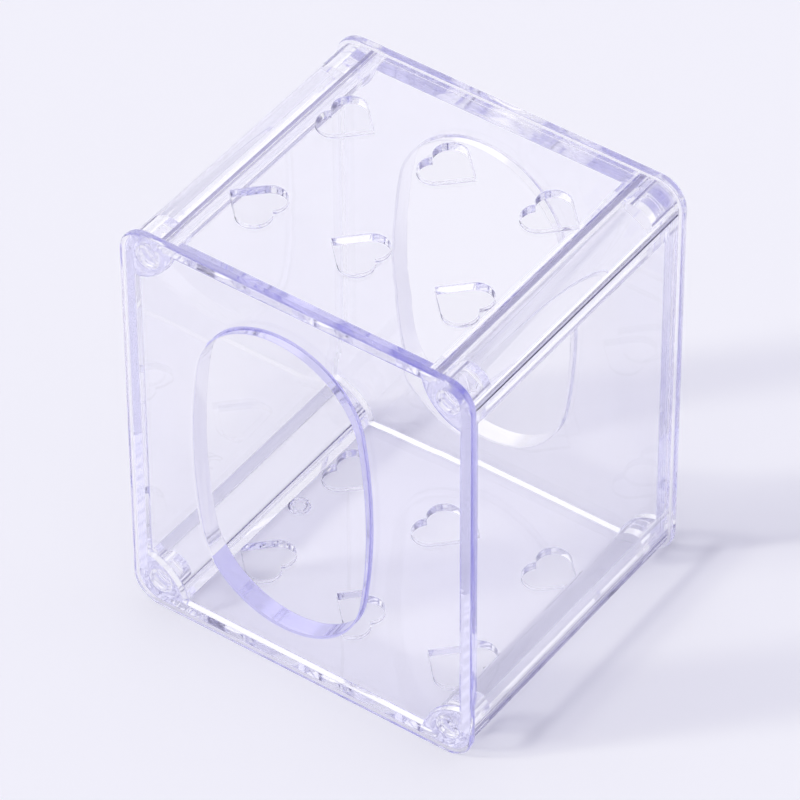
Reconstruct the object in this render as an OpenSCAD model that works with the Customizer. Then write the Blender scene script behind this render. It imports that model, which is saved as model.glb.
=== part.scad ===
// Clear plastic queen cage: four corner posts carry four grooved panels, and two pegged
// end plates push into the two ends. Each end plate has a flange that overlaps the ends of
// the posts and panels, an inner step that fits between them, and a tall window.
// X runs across the end plates, Y from the front plate to the back plate, Z is up.
// The origin is at the middle of the underside.

/* [Cage] */
// Width across the end plates
cage_w = 40; // [38:0.5:50]
// Depth between the outer faces of the end plates
cage_d = 35; // [33:0.5:50]
// Height
cage_h = 48; // [46:0.5:60]
// Radius of the four corners of an end plate
corner_r = 3; // [2.6:0.1:3.4]

/* [End plates] */
// Thickness of the flange of each end plate
flange_t = 0.8; // [0.6:0.1:1.2]
// Depth of the step that fits between the posts and panels
step_t = 1.5; // [1:0.1:2]
// How far the flange stands out past the posts and panels
flange_lip = 0.45; // [0.2:0.05:0.6]
// Gap all round the step
step_gap = 0.1; // [0.05:0.05:0.2]

/* [Panels] */
// Thickness of the top, bottom and side panels
panel_t = 1; // [0.9:0.1:1.2]
// Thickness of the tongue along each panel edge
tongue_t = 0.4; // [0.3:0.05:0.5]
// Length of the tongue, and depth of its groove in the post
tongue_l = 0.6; // [0.4:0.1:0.7]

/* [Corner posts] */
// Width of the flat that a post shows beside the top or bottom panel
post_leg_x = 4.3; // [4:0.1:4.8]
// Height of the flat that a post shows beside a side panel
post_leg_z = 2.9; // [2.8:0.1:4.8]
// Radius of the rounded bulge inside the cage, about the post's outer corner
post_bulge_r = 5.4; // [5.3:0.1:5.8]

/* [Pegs] */
// Diameter of the four pegs on each end plate
peg_d = 2.6; // [2.2:0.1:2.7]
// Length of each peg, with its lead-in
peg_l = 3.2; // [2.5:0.1:4]
// Distance from the outline of an end plate to the middle of a peg
peg_inset = 2.95; // [2.9:0.05:3]
// Height of the cone that leads each peg in
peg_lead = 0.5; // [0.3:0.1:0.6]
// Gap between a peg and its socket, on the radius
peg_gap = 0.05; // [0.03:0.01:0.1]
// Air left beyond the tip of a seated peg
socket_spare = 0.4; // [0.2:0.1:0.8]

/* [Windows] */
// Width of the window in each end plate
window_w = 20; // [18:0.5:22]
// Height of the window
window_h = 36.6; // [34:0.2:37]
// Radius of the window's round ends
window_end_r = 9.3; // [9:0.1:9.6]
// How far the window's middle is to the right of the plate's middle
window_shift = -2.1; // [-3:0.1:3]

/* [Vents] */
// Side of the square in each heart vent, which is also the diameter of its lobes
heart_side = 3.5; // [3.2:0.1:4]
// Vents in each row
vents_per_row = 3; // [2:1:3]
// Spacing of the vents along a row
vent_pitch = 11.7; // [10.5:0.1:11.8]
// Spacing of the two rows
row_pitch = 14.7; // [12:0.1:16]
// How far each vent is set toward its own point
vent_lead = 0.5; // [0:0.1:1]

/* [Hidden] */

$fn = 96;
overshoot = 1;
// The posts and panels stand inside the flanges and run between them.
body_w = cage_w - 2 * flange_lip;
body_h = cage_h - 2 * flange_lip;
body_d = cage_d - 2 * flange_t;
body_r = corner_r - flange_lip;
panel_w = body_w - 2 * post_leg_x;
panel_h = body_h - 2 * post_leg_z;
peg_x = cage_w / 2 - peg_inset;
peg_tip_r = peg_d / 2 - 0.6 * peg_lead;
// The sides of a window are long arcs that meet its round ends smoothly.
window_a = window_w / 2;
window_b = window_h / 2;
end_off = window_b - window_end_r;
side_r = (pow(end_off, 2) + pow(window_a, 2) - pow(window_end_r, 2)) / (2 * (window_a - window_end_r));
side_off = side_r - window_a;
side_half_h = side_r * end_off / (side_r - window_end_r);

// Lays an outline drawn in X and Z along the cage's depth, between two values of Y.
module along_depth(y_start, y_end) {
    translate([0, y_end, 0])
        rotate([90, 0, 0])
            linear_extrude(height = y_end - y_start)
                children();
}

// A rectangle centred on X = 0 and standing on Z = 0, with round corners.
module round_rectangle(width, height, radius) {
    union() {
        translate([-width / 2 + radius, 0])
            square([width - 2 * radius, height]);
        translate([-width / 2, radius])
            square([width, height - 2 * radius]);
        for (x = [-width / 2 + radius, width / 2 - radius])
            for (z = [radius, height - radius])
                translate([x, z])
                    circle(r = radius);
    }
}

// A tall window with round ends and slightly bowed sides, about its own middle.
module window_outline() {
    for (side = [-1, 1])
        translate([0, side * end_off])
            circle(r = window_end_r);
    intersection() {
        translate([-window_a, -side_half_h])
            square([window_w, 2 * side_half_h]);
        translate([side_off, 0])
            circle(r = side_r, $fn = 360);
        translate([-side_off, 0])
            circle(r = side_r, $fn = 360);
    }
}

// What fits between the panels and round the bulges of the posts.
module step_outline() {
    margin = flange_lip + panel_t + step_gap;
    difference() {
        translate([-cage_w / 2 + margin, margin])
            square([cage_w - 2 * margin, cage_h - 2 * margin]);
        for (x = [-body_w / 2, body_w / 2])
            for (z = [flange_lip, cage_h - flange_lip])
                translate([x, z])
                    circle(r = post_bulge_r + step_gap);
    }
}

// A heart about the middle of its square, with its point toward -X.
module heart_outline() {
    lobe = heart_side / (2 * sqrt(2));
    union() {
        rotate(45)
            square(heart_side, center = true);
        for (side = [-1, 1])
            translate([lobe, side * lobe])
                circle(d = heart_side);
    }
}

// A peg that starts at the plane Y = 0 and points toward +Y, rooted in the flange behind it.
module peg() {
    rotate([-90, 0, 0])
        rotate_extrude()
            polygon([
                [0, -flange_t / 2],
                [peg_d / 2, -flange_t / 2],
                [peg_d / 2, peg_l - peg_lead],
                [peg_tip_r, peg_l],
                [0, peg_l]
            ]);
}

// An end plate with its outer face on Y = 0 and its pegs toward +Y.
module end_plate() {
    union() {
        difference() {
            union() {
                along_depth(0, flange_t)
                    round_rectangle(cage_w, cage_h, corner_r);
                along_depth(flange_t / 2, flange_t + step_t)
                    step_outline();
            }
            along_depth(-overshoot, flange_t + step_t + overshoot)
                translate([window_shift, cage_h / 2])
                    window_outline();
        }
        for (x = [-peg_x, peg_x])
            for (z = [peg_inset, cage_h - peg_inset])
                translate([x, flange_t, z])
                    peg();
    }
}

// The section of a post, with its outer corner at the origin and the cage toward +X and +Z.
module post_section() {
    difference() {
        intersection() {
            circle(r = post_bulge_r);
            union() {
                translate([body_r, body_r])
                    circle(r = body_r);
                translate([body_r, 0])
                    square(post_bulge_r);
                translate([0, body_r])
                    square(post_bulge_r);
            }
        }
        panel_seat(post_leg_x);
        mirror([1, -1])
            panel_seat(post_leg_z);
    }
}

// What a panel that lies along X takes out of a post: its thickness and its tongue.
module panel_seat(leg) {
    translate([leg, -overshoot])
        square([post_bulge_r, panel_t + overshoot]);
    translate([leg - tongue_l, (panel_t - tongue_t) / 2])
        square([tongue_l + overshoot, tongue_t]);
}

// A post for one long edge; x_side is 1 on the right and z_side is 1 at the top.
module corner_post(x_side, z_side) {
    difference() {
        along_depth(-body_d / 2, body_d / 2)
            translate([x_side * body_w / 2, z_side > 0 ? cage_h - flange_lip : flange_lip])
                mirror([x_side > 0 ? 1 : 0, 0])
                    mirror([0, z_side > 0 ? 1 : 0])
                        post_section();
        for (y = [-body_d / 2, body_d / 2])
            translate([x_side * peg_x, y, z_side > 0 ? cage_h - peg_inset : peg_inset])
                rotate([90, 0, 0])
                    cylinder(d = peg_d + 2 * peg_gap, h = 2 * (peg_l + socket_spare), center = true);
    }
}

// A panel's section along X: its full width between the posts, and a tongue on each edge.
module panel_section(width) {
    translate([-width / 2, 0])
        square([width, panel_t]);
    translate([-width / 2 - tongue_l, (panel_t - tongue_t) / 2])
        square([width + 2 * tongue_l, tongue_t]);
}

// A flat panel lying on Z = 0 with two rows of hearts; the rows point away from each other.
module vented_panel() {
    difference() {
        along_depth(-body_d / 2, body_d / 2)
            panel_section(panel_w);
        for (row = [-1, 1])
            for (i = [0 : vents_per_row - 1])
                translate([
                    (i - (vents_per_row - 1) / 2) * vent_pitch + row * vent_lead,
                    row * row_pitch / 2,
                    -overshoot
                ])
                    mirror([row > 0 ? 1 : 0, 0, 0])
                        linear_extrude(height = panel_t + 2 * overshoot)
                            heart_outline();
    }
}

// A plain panel that stands upright with its outer face on X = 0 and the cage toward +X.
module plain_panel() {
    translate([0, 0, cage_h / 2])
        rotate([0, 90, 0])
            along_depth(-body_d / 2, body_d / 2)
                panel_section(panel_h);
}

module front_plate() {
    color([0.85, 0.84, 0.96, 0.45])
        translate([0, -cage_d / 2, 0])
            end_plate();
}

module back_plate() {
    color([0.83, 0.83, 0.95, 0.45])
        translate([0, cage_d / 2, 0])
            mirror([0, 1, 0])
                end_plate();
}

module top_panel() {
    color([0.88, 0.87, 0.97, 0.35])
        translate([0, 0, cage_h - flange_lip - panel_t])
            vented_panel();
}

module bottom_panel() {
    color([0.88, 0.87, 0.97, 0.35])
        translate([0, 0, flange_lip])
            vented_panel();
}

module left_panel() {
    color([0.9, 0.89, 0.97, 0.3])
        translate([-body_w / 2, 0, 0])
            plain_panel();
}

module right_panel() {
    color([0.9, 0.89, 0.97, 0.3])
        translate([body_w / 2, 0, 0])
            mirror([1, 0, 0])
                plain_panel();
}

module corner_post_top_left() {
    color([0.78, 0.76, 0.95, 0.55])
        corner_post(-1, 1);
}

module corner_post_top_right() {
    color([0.78, 0.76, 0.95, 0.55])
        corner_post(1, 1);
}

module corner_post_bottom_left() {
    color([0.78, 0.76, 0.95, 0.55])
        corner_post(-1, -1);
}

module corner_post_bottom_right() {
    color([0.78, 0.76, 0.95, 0.55])
        corner_post(1, -1);
}

front_plate();
back_plate();
top_panel();
bottom_panel();
left_panel();
right_panel();
corner_post_top_left();
corner_post_top_right();
corner_post_bottom_left();
corner_post_bottom_right();
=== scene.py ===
import math

import bmesh
import bpy
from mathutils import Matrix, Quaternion, Vector


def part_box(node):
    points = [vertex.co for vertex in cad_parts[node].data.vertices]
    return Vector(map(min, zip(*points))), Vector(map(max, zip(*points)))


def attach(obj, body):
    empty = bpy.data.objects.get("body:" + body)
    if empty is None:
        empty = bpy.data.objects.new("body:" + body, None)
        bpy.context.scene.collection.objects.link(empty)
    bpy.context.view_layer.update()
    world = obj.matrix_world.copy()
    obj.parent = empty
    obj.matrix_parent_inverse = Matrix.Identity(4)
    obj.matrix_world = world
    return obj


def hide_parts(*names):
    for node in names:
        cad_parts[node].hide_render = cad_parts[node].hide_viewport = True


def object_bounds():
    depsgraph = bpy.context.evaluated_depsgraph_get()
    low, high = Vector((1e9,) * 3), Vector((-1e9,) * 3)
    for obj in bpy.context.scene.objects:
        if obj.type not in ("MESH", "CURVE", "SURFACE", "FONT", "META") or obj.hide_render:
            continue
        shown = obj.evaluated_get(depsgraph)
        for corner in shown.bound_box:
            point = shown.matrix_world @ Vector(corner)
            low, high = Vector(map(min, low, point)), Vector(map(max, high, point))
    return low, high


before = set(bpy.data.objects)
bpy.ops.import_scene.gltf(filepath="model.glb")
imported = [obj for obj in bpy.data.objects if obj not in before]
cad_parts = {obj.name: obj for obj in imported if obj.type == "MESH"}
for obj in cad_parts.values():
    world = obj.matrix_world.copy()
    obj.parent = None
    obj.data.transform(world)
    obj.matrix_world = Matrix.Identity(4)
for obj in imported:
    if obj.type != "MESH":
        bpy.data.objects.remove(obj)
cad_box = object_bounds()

# The look of the queen cage: ten moulded pieces of clear plastic, each in the place of a CAD node.

# ---------------------------------------------------------------- sizes, in millimetres
MM = 0.001


def box_mm(node):
    """Lowest and highest corner of a CAD node, in millimetres."""
    low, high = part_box(node)
    return low / MM, high / MM


plate_low, plate_high = box_mm("front_plate")
top_low, top_high = box_mm("top_panel")
side_low, _ = box_mm("left_panel")

# Measured on the CAD nodes.
CAGE_W = plate_high.x - plate_low.x
CAGE_H = plate_high.z - plate_low.z
PLATE_Y = -plate_low.y
BODY_Y = top_high.y
FLANGE_T = PLATE_Y - BODY_Y
LIP = CAGE_H - top_high.z
PANEL_T = top_high.z - top_low.z
PEG_TIP = plate_high.y - plate_low.y
BODY_W = CAGE_W - 2 * LIP
BODY_H = CAGE_H - 2 * LIP

# Sizes that no node's box gives.
CORNER_R = 3.0
STEP_T = 1.5
STEP_GAP = 0.1
TONGUE_T = 0.4
TONGUE_L = 0.6
BULGE_R = 5.4

# A peg widens by (radius, height) steps where it meets its plate, and its tip is rounded by
# PEG_NOSE, also a (radius, height) pair. PEG_LEAD is the length of the tapered end.
PEG_R = 1.3
PEG_FOOT = ((0.15, 0), (0.04, 0.05), (0, 0.16))
PEG_LEAD = 0.5
PEG_TIP_R = 1.0
PEG_NOSE = (0.12, 0.1)
PEG_GAP = 0.05
PEG_INSET = 2.95
SOCKET_SPARE = 0.4
SOCKET_CHAMFER = 0.06

# The window is 2 * WINDOW_A wide and 2 * WINDOW_B tall.
WINDOW_A = 10.0
WINDOW_B = 18.3
WINDOW_END_R = 9.3
WINDOW_X = -2.1
# The front window's wall is painted pale to the left of this: painted light, on the key light's
# side.
PAINTED_LIGHT_RIM_X = -10.2

HEART_SIDE = 3.5
VENTS_PER_ROW = 3
VENT_PITCH = 11.7
ROW_PITCH = 14.7
VENT_LEAD = 0.5

# The ring of trapped air in the bottom panel: (u, v) and y of its middle, radius and thickness.
FILL_MARK = (-13.3, 0.5)
FILL_MARK_Y = 0.6
FILL_MARK_R = 0.9
FILL_MARK_T = 0.28

# Moulded edges are slightly round, and pieces that meet keep a hair of air between them.
PLATE_EDGE = 0.22
STEP_EDGE = 0.1
VENT_EDGE = 0.1
SEAM_EDGE = 0.08
SEAM_AIR = 0.02

# How many straight stretches stand for each kind of curve.
EDGE_STEPS = 3
CORNER_STEPS = 10
SECTION_STEPS = 12
BULGE_STEPS = 20
LOBE_STEPS = 20
WINDOW_SIDE_STEPS = 12
WINDOW_END_STEPS = 48
CIRCLE_STEPS = 48
BUBBLE_STEPS = 24
BUBBLE_ROLL_STEPS = 10
# Shading is smooth across edges less sharp than this, in degrees, and there it mostly follows
# the larger faces.
SHARP_EDGE = 36
LARGE_FACE_WEIGHT = 100

LEG_X = BODY_W / 2 - (top_high.x - TONGUE_L)
LEG_Z = (side_low.z + TONGUE_L) - LIP
PEG_L = PEG_TIP - FLANGE_T


# ---------------------------------------------------------------- mesh building
class Builder:
    """Collects rings of points into one closed mesh.

    Points are (u, v, y) in millimetres, and place turns them into (x, y, z). Each face has one of
    the finishes below; on the windows' walls they are painted light and shade. A piece has a
    single material, which reads them from the mesh, so that light always leaves the same plastic
    that it came into.
    """

    CLEAR = 0
    SEAM = 1
    # The windows' walls: violet painted shade, and pale painted light on the key light's side and
    # all round the back window.
    PAINTED_SHADE_RIM = 2
    PAINTED_LIGHT_RIM = 3

    def __init__(self, place):
        self.bm = bmesh.new()
        self.layer = self.bm.faces.layers.float.new("finish")
        self.place = place
        self.bubbles = []

    def vertex(self, u, v, y):
        return self.bm.verts.new(Vector(self.place(u, v, y)) * MM)

    def loop(self, outline, y):
        """A ring of vertices at depth y, from (u, v) pairs."""
        return [self.vertex(u, v, y) for u, v in outline]

    def flat_loop(self, outline, v):
        """A ring of vertices at height v, from (u, y) pairs."""
        return [self.vertex(u, v, y) for u, y in outline]

    def face(self, corners, finish):
        self.bm.faces.new(corners)[self.layer] = finish

    def bridge(self, first, second, finish):
        """The wall between two rings with the same number of points."""
        count = len(first)
        for i in range(count):
            j = (i + 1) % count
            self.face((first[i], first[j], second[j], second[i]), finish)

    def walls(self, rings, finish):
        """The walls from each ring to the next."""
        for first, second in zip(rings, rings[1:]):
            self.bridge(first, second, finish)

    def fill(self, *rings):
        """The clear flat face inside the first ring and outside the others."""
        edges = []
        for ring in rings:
            for i, vert in enumerate(ring):
                ends = (vert, ring[(i + 1) % len(ring)])
                edges.append(self.bm.edges.get(ends) or self.bm.edges.new(ends))
        bmesh.ops.triangle_fill(self.bm, use_beauty=True, use_dissolve=False, edges=edges)

    def ring_bubble(self, centre, y, radius, thickness):
        """A ring of trapped air, as a plastic part has where it was filled."""
        rings = []
        for i in range(BUBBLE_STEPS):
            turn = math.radians(360 * i / BUBBLE_STEPS)
            ring = []
            for j in range(BUBBLE_ROLL_STEPS):
                roll = math.radians(360 * j / BUBBLE_ROLL_STEPS)
                reach = radius + thickness * math.cos(roll)
                u = centre[0] + reach * math.cos(turn)
                v = centre[1] + thickness * math.sin(roll)
                ring.append(self.vertex(u, v, y + reach * math.sin(turn)))
            rings.append(ring)
        before = set(self.bm.faces)
        self.walls(rings + rings[:1], self.CLEAR)
        self.bubbles += [face for face in self.bm.faces if face not in before]

    def finish(self, name):
        """The finished object, with smooth shading between sharp edges.

        Normals point out of the plastic, so a bubble's point into its air.
        """
        bmesh.ops.recalc_face_normals(self.bm, faces=self.bm.faces)
        bmesh.ops.reverse_faces(self.bm, faces=self.bubbles)
        open_edges = [e for e in self.bm.edges if len(e.link_faces) != 2]
        if open_edges:
            raise RuntimeError(f"{name} has {len(open_edges)} open edges")
        mesh = bpy.data.meshes.new(name)
        self.bm.to_mesh(mesh)
        self.bm.free()
        mesh.shade_smooth()
        mesh.set_sharp_from_angle(angle=math.radians(SHARP_EDGE))
        obj = bpy.data.objects.new(name, mesh)
        bpy.context.scene.collection.objects.link(obj)
        weighted = obj.modifiers.new("flat_faces", "WEIGHTED_NORMAL")
        weighted.keep_sharp = True
        weighted.weight = LARGE_FACE_WEIGHT
        return obj


def arc(centre, radius, start, end, steps):
    """Points on an arc, with both ends; angles in degrees."""
    points = []
    for i in range(steps + 1):
        angle = math.radians(start + (end - start) * i / steps)
        x = centre[0] + radius * math.cos(angle)
        points.append((x, centre[1] + radius * math.sin(angle)))
    return points


def circle(centre, radius):
    return arc(centre, radius, 0, 360, CIRCLE_STEPS)[:-1]


def edge_round(radius):
    """(inset, depth) pairs from a face round to its wall."""
    pairs = []
    for i in range(EDGE_STEPS + 1):
        angle = math.radians(90 * i / EDGE_STEPS)
        pairs.append((radius * (1 - math.sin(angle)), radius * (1 - math.cos(angle))))
    return pairs


# ---------------------------------------------------------------- outlines
def plate_outline(inset):
    """An end plate's outline, about the origin."""
    radius = CORNER_R - inset
    half_w = CAGE_W / 2 - CORNER_R
    half_h = CAGE_H / 2 - CORNER_R
    corners = ((1, 1, 0), (-1, 1, 90), (-1, -1, 180), (1, -1, 270))
    points = []
    for sx, sz, start in corners:
        points += arc((sx * half_w, sz * half_h), radius, start, start + 90, CORNER_STEPS)
    return points


def window_outline(outset):
    """The tall window: round ends joined by slightly bowed sides."""
    end_off = WINDOW_B - WINDOW_END_R
    side_r = (end_off**2 + WINDOW_A**2 - WINDOW_END_R**2) / (2 * (WINDOW_A - WINDOW_END_R))
    side_off = side_r - WINDOW_A
    turn = math.degrees(math.atan2(end_off, side_off))
    end_r = WINDOW_END_R + outset
    side_r += outset
    left = (WINDOW_X + side_off, 0)
    right = (WINDOW_X - side_off, 0)
    points = arc(right, side_r, -turn, turn, WINDOW_SIDE_STEPS)[:-1]
    points += arc((WINDOW_X, end_off), end_r, turn, 180 - turn, WINDOW_END_STEPS)[:-1]
    points += arc(left, side_r, 180 - turn, 180 + turn, WINDOW_SIDE_STEPS)[:-1]
    points += arc((WINDOW_X, -end_off), end_r, 180 + turn, 360 - turn, WINDOW_END_STEPS)[:-1]
    return points


def step_outline(inset):
    """The step of an end plate, which fits between the panels and round the posts' bulges."""
    wall = PANEL_T + STEP_GAP + inset
    radius = BULGE_R + STEP_GAP + inset
    low = math.degrees(math.asin(wall / radius))
    half_w = BODY_W / 2
    half_h = BODY_H / 2
    corners = ((1, 1, 180), (-1, 1, 270), (-1, -1, 0), (1, -1, 90))
    points = []
    for sx, sz, start in corners:
        middle = (sx * half_w, sz * half_h)
        points += arc(middle, radius, start + 90 - low, start + low, SECTION_STEPS)
    return points


def heart_outline(centre, flip, outset):
    """A heart vent about the middle of its square. Its point is toward -u, or +u if flip is -1."""
    lobe = HEART_SIDE / (2 * math.sqrt(2))
    radius = HEART_SIDE / 2 + outset
    notch = math.degrees(math.asin(lobe / radius))
    tip = -2 * lobe - math.sqrt(2) * outset
    points = [(tip, 0)]
    points += arc((lobe, -lobe), radius, -135, notch, LOBE_STEPS)
    points += arc((lobe, lobe), radius, -notch, 135, LOBE_STEPS)[1:]
    return [(centre[0] + flip * x, centre[1] + flip * y) for x, y in points]


def post_outline():
    """A post's section, with its outer corner at the origin and the cage toward +u and +v."""
    body_r = CORNER_R - LIP
    seat = PANEL_T + SEAM_AIR
    reach = math.degrees(math.asin(seat / BULGE_R))
    groove_low = (PANEL_T - TONGUE_T) / 2
    groove_high = groove_low + TONGUE_T

    def leg(length):
        return [
            (length - SEAM_EDGE, 0),
            (length, SEAM_EDGE),
            (length, groove_low),
            (length - TONGUE_L, groove_low),
            (length - TONGUE_L, groove_high),
            (length, groove_high),
            (length, seat),
        ]

    points = arc((body_r, body_r), body_r, 180, 270, SECTION_STEPS)
    points += leg(LEG_X)
    points += arc((0, 0), BULGE_R, reach, 90 - reach, BULGE_STEPS)
    points += [(v, u) for u, v in reversed(leg(LEG_Z))]
    return points


# ---------------------------------------------------------------- pieces
def make_end_plate(name, side):
    """An end plate; side is -1 at the front and 1 at the back."""
    def place(u, v, y):
        return (u, side * (PLATE_Y - y), v + CAGE_H / 2)

    b = Builder(place)
    edge = edge_round(PLATE_EDGE)
    step_edge = edge_round(STEP_EDGE)
    inner = FLANGE_T + STEP_T
    outside = [b.loop(plate_outline(i), d) for i, d in edge]
    outside += [b.loop(plate_outline(i), FLANGE_T - d) for i, d in reversed(edge)]
    step = [b.loop(step_outline(0), FLANGE_T)]
    step += [b.loop(step_outline(i), inner - d) for i, d in reversed(step_edge)]
    window = [b.loop(window_outline(i), inner - d) for i, d in edge]
    window += [b.loop(window_outline(i), d) for i, d in reversed(edge)]
    peg_profile = [(PEG_R + wider, FLANGE_T + higher) for wider, higher in PEG_FOOT]
    peg_profile += [
        (PEG_R, PEG_TIP - PEG_LEAD),
        (PEG_TIP_R, PEG_TIP - PEG_NOSE[1]),
        (PEG_TIP_R - PEG_NOSE[0], PEG_TIP),
    ]
    pegs = []
    for sx in (-1, 1):
        for sz in (-1, 1):
            centre = (sx * (CAGE_W / 2 - PEG_INSET), sz * (CAGE_H / 2 - PEG_INSET))
            pegs.append([b.loop(circle(centre, radius), y) for radius, y in peg_profile])
    for rings in (outside, step, *pegs):
        b.walls(rings, b.CLEAR)
    b.walls(window, b.PAINTED_SHADE_RIM)
    # Pale painted light goes on the front window's wall at its left, on the key light's side, and
    # on all of the back window's wall; the rest keeps its violet painted shade.
    for face in b.bm.faces:
        painted_light = side > 0 or face.calc_center_median().x < PAINTED_LIGHT_RIM_X * MM
        if painted_light and face[b.layer] == b.PAINTED_SHADE_RIM:
            face[b.layer] = b.PAINTED_LIGHT_RIM
    b.fill(outside[0], window[-1])
    b.fill(outside[-1], step[0], *[rings[0] for rings in pegs])
    b.fill(step[-1], window[0])
    for rings in pegs:
        b.fill(rings[-1])
    return b.finish(name)


def is_seam(start, end):
    """True for the stretches of a post's outline that face a panel's edge or its tongue."""
    across_x = start[0] == end[0] and end[0] >= LEG_X - TONGUE_L
    across_z = start[1] == end[1] and end[1] >= LEG_Z - TONGUE_L
    return across_x or across_z


def make_post(name, x_side, z_side):
    """A corner post with a socket in each end; x_side and z_side are -1 or 1."""
    def place(u, v, y):
        return (
            x_side * (BODY_W / 2 - u),
            y,
            CAGE_H / 2 + z_side * (BODY_H / 2 - v),
        )

    b = Builder(place)
    end = BODY_Y - SEAM_AIR
    centre = (PEG_INSET - LIP, PEG_INSET - LIP)
    socket_r = PEG_R + PEG_GAP
    bottom = BODY_Y - PEG_L - SOCKET_SPARE
    outline = post_outline()
    body = [b.loop(outline, y) for y in (-end, end)]
    for i in range(len(outline)):
        j = (i + 1) % len(outline)
        finish = b.SEAM if is_seam(outline[i], outline[j]) else b.CLEAR
        b.face((body[0][i], body[0][j], body[1][j], body[1][i]), finish)
    for side, ring in zip((-1, 1), body):
        mouth = b.loop(circle(centre, socket_r + SOCKET_CHAMFER), side * end)
        throat = b.loop(circle(centre, socket_r), side * (end - SOCKET_CHAMFER))
        floor = b.loop(circle(centre, socket_r), side * bottom)
        b.walls([mouth, throat, floor], b.CLEAR)
        b.fill(ring, mouth)
        b.fill(floor)
    return b.finish(name)


def make_panel(name, place, half_w, vents):
    """A panel; u runs across it between the posts, v from its inner face out, and y along it.

    half_w is half the width between the posts, and each vent is a (centre, flip) pair.
    """
    b = Builder(place)
    half_w -= SEAM_AIR
    end = BODY_Y - SEAM_AIR
    low = (PANEL_T - TONGUE_T) / 2 + SEAM_AIR
    high = PANEL_T - low
    reach = half_w + TONGUE_L - SEAM_AIR
    right = [
        (half_w, 0),
        (half_w, low),
        (reach, low),
        (reach, high),
        (half_w, high),
        (half_w, PANEL_T - SEAM_EDGE),
        (half_w - SEAM_EDGE, PANEL_T),
    ]
    section = right + [(-u, v) for u, v in reversed(right)]
    front = b.loop(section, -end)
    back = b.loop(section, end)
    count = len(section)
    outer = len(right) - 1
    inner = count - 1
    # The rings that bound the outer and the inner face: first the corners, then the vents.
    bounds = {outer: [], inner: []}
    for i in range(count):
        j = (i + 1) % count
        corners = (front[i], front[j], back[j], back[i])
        if i in bounds:
            bounds[i].append(corners)
        else:
            b.face(corners, b.SEAM)
    b.fill(front)
    b.fill(back)
    edge = edge_round(VENT_EDGE)
    levels = [(outset, PANEL_T - depth) for outset, depth in edge] + edge[::-1]
    for centre, flip in vents:
        rings = [b.flat_loop(heart_outline(centre, flip, outset), v) for outset, v in levels]
        b.walls(rings, b.CLEAR)
        bounds[outer].append(rings[0])
        bounds[inner].append(rings[-1])
    for rings in bounds.values():
        b.fill(*rings)
    if name == "panel_bottom":
        b.ring_bubble(FILL_MARK, FILL_MARK_Y, FILL_MARK_R, FILL_MARK_T)
    return b.finish(name)


def vent_places():
    """(centre, flip) of each vent: the front row points left and the back row right."""
    places = []
    for row in (-1, 1):
        for i in range(VENTS_PER_ROW):
            u = (i - (VENTS_PER_ROW - 1) / 2) * VENT_PITCH + row * VENT_LEAD
            places.append(((u, row * ROW_PITCH / 2), -row))
    return places


def top_place(u, v, y):
    return (u, y, CAGE_H - LIP - PANEL_T + v)


def bottom_place(u, v, y):
    return (u, y, LIP + PANEL_T - v)


def left_place(u, v, y):
    return (-BODY_W / 2 + PANEL_T - v, y, CAGE_H / 2 + u)


def right_place(u, v, y):
    return (BODY_W / 2 - PANEL_T + v, y, CAGE_H / 2 + u)


# ---------------------------------------------------------------- materials
PLASTIC_IOR = 1.49
# What a metre of the plastic takes out of the light: it passes violet best.
TINT_DENSITY = 6.0
TINT_COLOUR = (0.1, 0.06, 0.8, 1)

# Clear faces vary between these two, and the other finishes have a tint each: the seams a dark
# one, and the windows' walls violet painted shade and pale painted light.
FACE_TINT = ((0.985, 0.983, 1, 1), (1, 0.998, 1, 1))
FINISH_AND_PAINTED_LIGHT_TINTS = {
    Builder.SEAM: (0.4, 0.38, 0.55, 1),
    # The windows' walls: violet painted shade, and pale painted light.
    Builder.PAINTED_SHADE_RIM: (0.67, 0.65, 0.94, 1),
    Builder.PAINTED_LIGHT_RIM: (0.99, 0.985, 1, 1),
}
# Finishes are whole numbers, so a match is anything within half of one.
FINISH_MATCH = 0.5
# The windows' walls are polished: they mirror more than bare plastic does.
RIM_METAL = 0.8
RIM_ROUGHNESS = 0.1
HAZE = 0.03

# Noises, as scale per metre, step of the scale from one plastic to the next, and detail.
TONE_NOISE = (60, 1, 3)
DUST_NOISE = (900, 10, 6)
WAVE_NOISE = (110, 1, 1)
# The noise values between which the tint and the haze go from end to end.
TONE_RANGE = (0.3, 0.7)
DUST_RANGE = (0.6, 0.8)
# The faint waves in the surface, with their depth in metres.
WAVE_STRENGTH = 0.008
WAVE_DEPTH = 0.0004

# What one surface lets through from a lamp, square on and along it.
PLATE_SHADOW = ((0.97, 0.97, 0.98, 1), (0.67, 0.665, 0.73, 1))
PANEL_SHADOW = ((1, 1, 1, 1), (0.92, 0.915, 0.94, 1))
POST_SHADOW = ((0.97, 0.97, 0.98, 1), (0.72, 0.715, 0.78, 1))
SHADOW_BLEND = 0.35
SHADOW_RANGE = (0.05, 0.9)


def add_node(tree, kind, inputs=None):
    """A new shader node. Each input is given a value, or the output that feeds it."""
    node = tree.nodes.new("ShaderNode" + kind)
    for key, value in (inputs or {}).items():
        if isinstance(value, bpy.types.NodeSocket):
            tree.links.new(value, node.inputs[key])
        else:
            node.inputs[key].default_value = value
    return node


def add_math(tree, operation, *inputs):
    """The output of a sum on up to three numbers or outputs."""
    node = add_node(tree, "Math", dict(enumerate(inputs)))
    node.operation = operation
    return node.outputs["Value"]


def add_noise(tree, where, noise, seed):
    """The value of a noise from the list above, at the point where."""
    scale, step, detail = noise
    inputs = {"Vector": where, "Scale": scale + step * seed, "Detail": detail}
    return add_node(tree, "TexNoise", inputs).outputs["Fac"]


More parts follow.
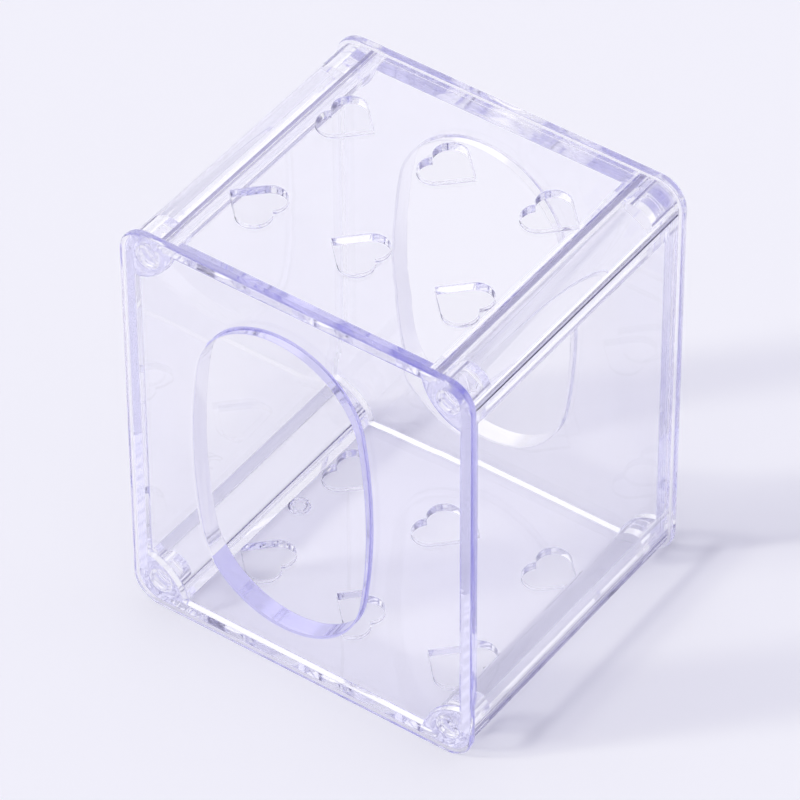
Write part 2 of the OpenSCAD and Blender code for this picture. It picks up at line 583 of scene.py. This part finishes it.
def add_ramp(tree, value, positions, colours):
    """The colour between two, as value goes from the first position to the second."""
    node = add_node(tree, "ValToRGB", {"Fac": value})
    for element, position, colour in zip(node.color_ramp.elements, positions, colours):
        element.position = position
        element.color = colour
    return node.outputs["Color"]


def clear_plastic(name, seed, shadow):
    """Glossy plastic with a violet bulk and a finish that the mesh gives for each face: painted
    light and shade on the windows' walls.
    """
    mat = bpy.data.materials.new(name)
    mat.use_nodes = True
    tree = mat.node_tree
    tree.nodes.clear()
    where = add_node(tree, "TexCoord").outputs["Object"]
    attribute = add_node(tree, "Attribute")
    attribute.attribute_name = "finish"
    finish = attribute.outputs["Fac"]

    tone = add_noise(tree, where, TONE_NOISE, seed)
    colour = add_ramp(tree, tone, TONE_RANGE, FACE_TINT)
    # The seams' dark tint, and on the windows' walls violet painted shade and pale painted light.
    for value, tint in FINISH_AND_PAINTED_LIGHT_TINTS.items():
        is_finish = add_math(tree, "COMPARE", finish, value, FINISH_MATCH)
        tinted = {"Fac": is_finish, "Color1": colour, "Color2": tint}
        colour = add_node(tree, "MixRGB", tinted).outputs["Color"]

    is_rim = add_math(tree, "GREATER_THAN", finish, (Builder.SEAM + Builder.PAINTED_SHADE_RIM) / 2)
    haze = add_node(tree, "MapRange", {
        "Value": add_noise(tree, where, DUST_NOISE, seed),
        "From Min": DUST_RANGE[0],
        "From Max": DUST_RANGE[1],
        "To Min": 0.0,
        "To Max": HAZE,
    })
    bump = add_node(tree, "Bump", {
        "Height": add_noise(tree, where, WAVE_NOISE, seed),
        "Strength": WAVE_STRENGTH,
        "Distance": WAVE_DEPTH,
    })
    plastic = add_node(tree, "BsdfPrincipled", {
        "Base Color": colour,
        "Metallic": add_math(tree, "MULTIPLY", is_rim, RIM_METAL),
        "Roughness": add_math(tree, "MULTIPLY_ADD", is_rim, RIM_ROUGHNESS, haze.outputs["Result"]),
        "IOR": PLASTIC_IOR,
        "Transmission Weight": 1.0,
        "Normal": bump.outputs["Normal"],
    })

    # Shadow rays pass straight through, and lose more the flatter they meet the surface.
    facing = add_node(tree, "LayerWeight", {"Blend": SHADOW_BLEND}).outputs["Facing"]
    shade = add_ramp(tree, facing, SHADOW_RANGE, shadow)
    through = add_node(tree, "BsdfTransparent", {"Color": shade})
    surface = add_node(tree, "MixShader", {
        0: add_node(tree, "LightPath").outputs["Is Shadow Ray"],
        1: plastic.outputs["BSDF"],
        2: through.outputs["BSDF"],
    })
    bulk = {"Color": TINT_COLOUR, "Density": TINT_DENSITY}
    volume = add_node(tree, "VolumeAbsorption", bulk)
    add_node(tree, "OutputMaterial", {
        "Surface": surface.outputs["Shader"],
        "Volume": volume.outputs["Volume"],
    })
    return mat


shadows = {
    "plate_plastic": PLATE_SHADOW,
    "panel_plastic": PANEL_SHADOW,
    "post_plastic": POST_SHADOW,
}
plastics = {
    slot: clear_plastic(slot, seed, shadow)
    for seed, (slot, shadow) in enumerate(shadows.items())
}


# ---------------------------------------------------------------- the cage
def install(obj, node, body, slot):
    """Puts a piece in the place of its CAD node, with the plastic of its material slot."""
    obj.data.materials.append(plastics[slot])
    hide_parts(node)
    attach(obj, body)


install(make_end_plate("plate_front", -1), "front_plate", "front_plate", "plate_plastic")
install(make_end_plate("plate_back", 1), "back_plate", "back_plate", "plate_plastic")

wide = BODY_W / 2 - LEG_X
tall = BODY_H / 2 - LEG_Z
panels = (
    ("panel_top", "top_panel", top_place, wide, vent_places()),
    ("panel_bottom", "bottom_panel", bottom_place, wide, vent_places()),
    ("panel_left", "left_panel", left_place, tall, []),
    ("panel_right", "right_panel", right_place, tall, []),
)
for name, node, place, half_w, vents in panels:
    install(make_panel(name, place, half_w, vents), node, "cage", "panel_plastic")

for z_word, z_side in (("top", 1), ("bottom", -1)):
    for x_word, x_side in (("left", -1), ("right", 1)):
        post = make_post(f"post_{z_word}_{x_word}", x_side, z_side)
        install(post, f"corner_post_{z_word}_{x_word}", "cage", "post_plastic")


# ---------------------------------------------------------------- floor, light and camera
FLOOR_HALF = 1.5
# The floor lies a hair below the cage, so that the two never share a plane.
FLOOR_DROP = 0.00002
FLOOR_COLOUR = (0.9, 0.895, 0.965, 1)
FLOOR_ROUGHNESS = 0.9
FLOOR_SHINE = 0.1

# The surround's brightness, and that of the softbox in it, which is up at the back left.
SKY_COLOUR = (0.95, 0.945, 1)
SKY_LEVEL = 0.95
SOFTBOX_LEVEL = 1.2
SOFTBOX_WAY = (-0.5, 0.55, 0.67)
# Cosines of the angles from its middle at which the softbox starts and is full.
SOFTBOX_EDGE = (0.8, 0.92)
# The share of the surround that lights the floor. The wide lamp gives the rest.
SKY_ON_FLOOR = 0.1

# Lamps, as strength, width in degrees, the way their light goes, and colour.
LAMPS = {
    "key": (3.0, 7, (0.529, 0.538, -0.42), (1, 0.995, 0.98)),
    "wide": (1.42, 150, (0, 0, -1), SKY_COLOUR),
}

# The camera: angles in degrees, lens and sensor in millimetres, and the rest in metres. SHIFT
# moves it to its right and up, and it sees what lies between the two distances in CLIP.
AZIMUTH = 35.76
ELEVATION = 43.04
ROLL = -0.341
DISTANCE = 0.6046
SHIFT = (-0.00048, -0.00064)
LENS = 285.7
SENSOR = 36
CLIP = (0.01, 10)

# Light trapped in the plastic's edges needs many bounces to come out violet.
BOUNCES = 300


def make_floor():
    """A plain pale floor, level with the bottom of the cage."""
    signs = ((-1, -1), (1, -1), (1, 1), (-1, 1))
    corners = [(FLOOR_HALF * sx, FLOOR_HALF * sy, 0) for sx, sy in signs]
    mesh = bpy.data.meshes.new("floor")
    mesh.from_pydata(corners, [], [(0, 1, 2, 3)])
    floor = bpy.data.objects.new("floor", mesh)
    floor.location.z = cad_box[0].z - FLOOR_DROP
    bpy.context.scene.collection.objects.link(floor)
    mat = bpy.data.materials.new("floor")
    mat.use_nodes = True
    shader = mat.node_tree.nodes["Principled BSDF"]
    shader.inputs["Base Color"].default_value = FLOOR_COLOUR
    shader.inputs["Roughness"].default_value = FLOOR_ROUGHNESS
    shader.inputs["Specular IOR Level"].default_value = FLOOR_SHINE
    mesh.materials.append(mat)


def make_lamp(name, energy, angle, travel, colour):
    """A lamp far away. It lights the floor through the plastic, and does not show in it."""
    lamp = bpy.data.objects.new(name, bpy.data.lights.new(name, "SUN"))
    lamp.data.energy = energy
    lamp.data.angle = math.radians(angle)
    lamp.data.color = colour
    lamp.data.cycles.use_multiple_importance_sampling = False
    lamp.visible_glossy = False
    lamp.visible_transmission = False
    lamp.rotation_mode = "QUATERNION"
    lamp.rotation_quaternion = Vector(travel).to_track_quat("-Z", "Y")
    bpy.context.scene.collection.objects.link(lamp)


def make_surround():
    """A pale world with a softbox in it. Both show in the plastic, and hardly light the floor."""
    world = bpy.data.worlds.new("studio")
    bpy.context.scene.world = world
    world.use_nodes = True
    world.cycles.sampling_method = "NONE"
    tree = world.node_tree
    background = tree.nodes["Background"]
    background.inputs["Color"].default_value = (*SKY_COLOUR, 1)
    toward = add_node(tree, "VectorMath", {
        0: add_node(tree, "TexCoord").outputs["Generated"],
        1: Vector(SOFTBOX_WAY).normalized(),
    })
    toward.operation = "DOT_PRODUCT"
    softbox = add_node(tree, "MapRange", {
        "Value": toward.outputs["Value"],
        "From Min": SOFTBOX_EDGE[0],
        "From Max": SOFTBOX_EDGE[1],
        "To Min": SKY_LEVEL,
        "To Max": SOFTBOX_LEVEL,
    })
    softbox.interpolation_type = "SMOOTHSTEP"
    fade = add_node(tree, "MapRange", {
        "Value": add_node(tree, "LightPath").outputs["Diffuse Depth"],
        "To Min": 1.0,
        "To Max": SKY_ON_FLOOR,
    })
    level = add_math(tree, "MULTIPLY", softbox.outputs["Result"], fade.outputs["Result"])
    tree.links.new(level, background.inputs["Strength"])


def make_camera():
    """A long lens that looks down on the front right of the cage."""
    azimuth = math.radians(AZIMUTH)
    elevation = math.radians(ELEVATION)
    back = Vector((
        math.sin(azimuth) * math.cos(elevation),
        -math.cos(azimuth) * math.cos(elevation),
        math.sin(elevation),
    ))
    camera = bpy.data.objects.new("camera", bpy.data.cameras.new("camera"))
    bpy.context.scene.collection.objects.link(camera)
    turn = (-back).to_track_quat("-Z", "Y") @ Quaternion((0, 0, 1), math.radians(ROLL))
    right = turn @ Vector((1, 0, 0))
    up = turn @ Vector((0, 1, 0))
    centre = (cad_box[0] + cad_box[1]) / 2
    camera.location = centre + back * DISTANCE + right * SHIFT[0] + up * SHIFT[1]
    camera.rotation_mode = "QUATERNION"
    camera.rotation_quaternion = turn
    camera.data.lens = LENS
    camera.data.sensor_width = SENSOR
    camera.data.clip_start, camera.data.clip_end = CLIP
    bpy.context.scene.camera = camera


make_floor()
make_surround()
for lamp_name, lamp in LAMPS.items():
    make_lamp(lamp_name, *lamp)
make_camera()

scene = bpy.context.scene
scene.view_settings.view_transform = "Standard"
scene.cycles.max_bounces = BOUNCES
scene.cycles.transmission_bounces = BOUNCES
scene.cycles.glossy_bounces = BOUNCES
scene.cycles.transparent_max_bounces = BOUNCES
